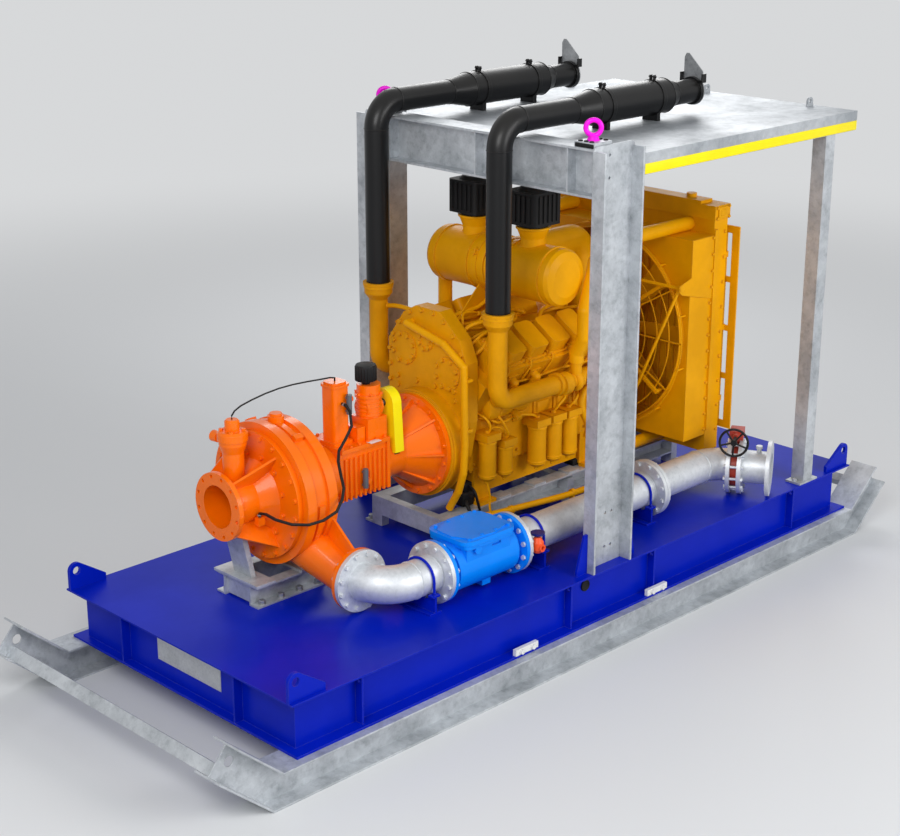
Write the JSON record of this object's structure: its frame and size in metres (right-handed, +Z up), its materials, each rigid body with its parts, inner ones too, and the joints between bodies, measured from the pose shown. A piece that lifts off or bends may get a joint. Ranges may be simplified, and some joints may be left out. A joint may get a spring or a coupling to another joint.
{
  "type": "diesel dewatering pump",
  "caption": "Skid-mounted centrifugal dewatering pump driven by a diesel engine, with a canopy, a twin exhaust, a radiator and a flanged discharge pipe with check and butterfly valves.",
  "frame": {"origin": "on the ground, under the middle of the skid", "axes": "+X from the suction end to the radiator end, -Y to the side with the discharge pipe, +Z up"},
  "size_m": [5.9992, 2.17, 3.397],
  "materials": {
    "galvanised": "mottled zinc",
    "deck_blue": "satin",
    "bare_plate": "satin",
    "eye_magenta": "satin",
    "engine_yellow": "semi-gloss",
    "exhaust_black": "matte",
    "flap_steel": "satin",
    "dark_steel": "machined",
    "pump_orange": "semi-gloss",
    "gauge_grey": "satin",
    "guard_yellow": "satin",
    "black_rubber": "matte",
    "pipe_zinc": "mottled zinc",
    "valve_blue": "semi-gloss",
    "valve_red": "satin",
    "wheel_black": "satin",
    "tap_orange": "satin",
    "tap_blue": "gloss"
  },
  "bodies": {
    "frame": {"skid_frame": "galvanised", "base_tank": "deck_blue", "lifting_lugs": "deck_blue", "name_plate": "bare_plate", "tank_fittings": "bare_plate", "columns": "galvanised", "roof_beam": "galvanised", "roof_panel": "galvanised", "rear_posts": "galvanised", "engine_frame": "galvanised", "engine_block": "engine_yellow", "oil_sump": "engine_yellow", "rear_housing": "engine_yellow", "cylinder_heads": "engine_yellow", "exhaust_manifolds": "engine_yellow", "turbochargers": "engine_yellow", "exhaust_stacks": "exhaust_black", "air_cleaners": "engine_yellow", "precleaners": "exhaust_black", "breather_pipe": "engine_yellow", "engine_filters": "engine_yellow", "radiator_pipes": "engine_yellow", "radiator": "engine_yellow", "fan_shroud": "engine_yellow", "fan_guard": "engine_yellow", "stone_guard": "engine_yellow", "drive_belts": "black_rubber", "suction_cover": "pump_orange", "priming_chamber": "pump_orange", "casing": "pump_orange", "bearing_housing": "pump_orange", "bell_housing": "pump_orange", "vacuum_pump": "pump_orange", "separator_tank": "pump_orange", "sight_gauges": "gauge_grey", "belt_guard": "guard_yellow", "pump_lines": "black_rubber", "pedestal": "galvanised", "discharge_elbow": "pipe_zinc", "check_valve": "valve_blue", "discharge_pipe": "pipe_zinc", "outlet_bend": "pipe_zinc", "butterfly_valve": "valve_red", "discharge_spool": "pipe_zinc", "tap_body": "tap_orange", "pipe_supports": "deck_blue", "flange_bolts": "pipe_zinc"},
    "drive_line": {"crankshaft": "dark_steel", "pump_shaft": "dark_steel", "impeller": "dark_steel"},
    "fan": {"cooling_fan": "engine_yellow"},
    "vacuum_drive": {"vacuum_pulley": "dark_steel"},
    "flap": {"check_flap": "dark_steel"},
    "wheel": {"handwheel": "wheel_black"},
    "disc": {"butterfly_disc": "dark_steel"},
    "tap": {"tap_handle": "tap_blue"},
    "near_lid": {"near_rain_flap": "flap_steel"},
    "far_lid": {"far_rain_flap": "flap_steel"},
    "near_eye_ring": {"near_eye": "eye_magenta"},
    "far_eye_ring": {"far_eye": "eye_magenta"}
  },
  "joints": [
    {"name": "crank_spin", "type": "hinge", "parent": "frame", "child": "drive_line", "pos_m": [0, 0.2, 1.13], "axis": [1, 0, 0], "continuous": true},
    {"name": "fan_spin", "type": "hinge", "parent": "frame", "child": "fan", "pos_m": [0, 0.2, 1.551], "axis": [1, 0, 0], "continuous": true},
    {"name": "vacuum_pulley_spin", "type": "hinge", "parent": "frame", "child": "vacuum_drive", "pos_m": [0, 0.14, 1.485], "axis": [1, 0, 0], "continuous": true},
    {"name": "check_flap_swing", "type": "hinge", "parent": "frame", "child": "flap", "pos_m": [-0.871, -0.63, 0.837], "axis": [0, -1, 0], "range_deg": [0, 50]},
    {"name": "handwheel_turn", "type": "hinge", "parent": "frame", "child": "wheel", "pos_m": [1.5893, -0.78606, 0.941], "axis": [-0.866, -0.5, 0], "range_deg": [0, 2700]},
    {"name": "butterfly_turn", "type": "hinge", "parent": "frame", "child": "disc", "pos_m": [1.5893, -0.78606, 0.715], "axis": [0, 0, 1], "range_deg": [0, 90]},
    {"name": "tap_turn", "type": "hinge", "parent": "frame", "child": "tap", "pos_m": [-0.366, -0.788, 0.735], "axis": [0, 0, 1], "range_deg": [0, 1080]},
    {"name": "near_lid_swing", "type": "hinge", "parent": "frame", "child": "near_lid", "pos_m": [1.557, -0.325, 3.267], "axis": [0, -1, 0], "range_deg": [0, 75]},
    {"name": "far_lid_swing", "type": "hinge", "parent": "frame", "child": "far_lid", "pos_m": [1.557, 0.725, 3.267], "axis": [0, -1, 0], "range_deg": [0, 75]},
    {"name": "near_eye_turn", "type": "hinge", "parent": "frame", "child": "near_eye_ring", "pos_m": [-0.0375, -0.86, 3.1], "axis": [0, 0, 1], "continuous": true},
    {"name": "far_eye_turn", "type": "hinge", "parent": "frame", "child": "far_eye_ring", "pos_m": [-0.0375, 0.86, 3.1], "axis": [0, 0, 1], "continuous": true}
  ],
  "couplings": [
    {"joint": "fan_spin", "follows": "crank_spin", "ratio": 1.2},
    {"joint": "vacuum_pulley_spin", "follows": "crank_spin", "ratio": 1.7742},
    {"joint": "butterfly_turn", "follows": "handwheel_turn", "ratio": 0.033333}
  ]
}
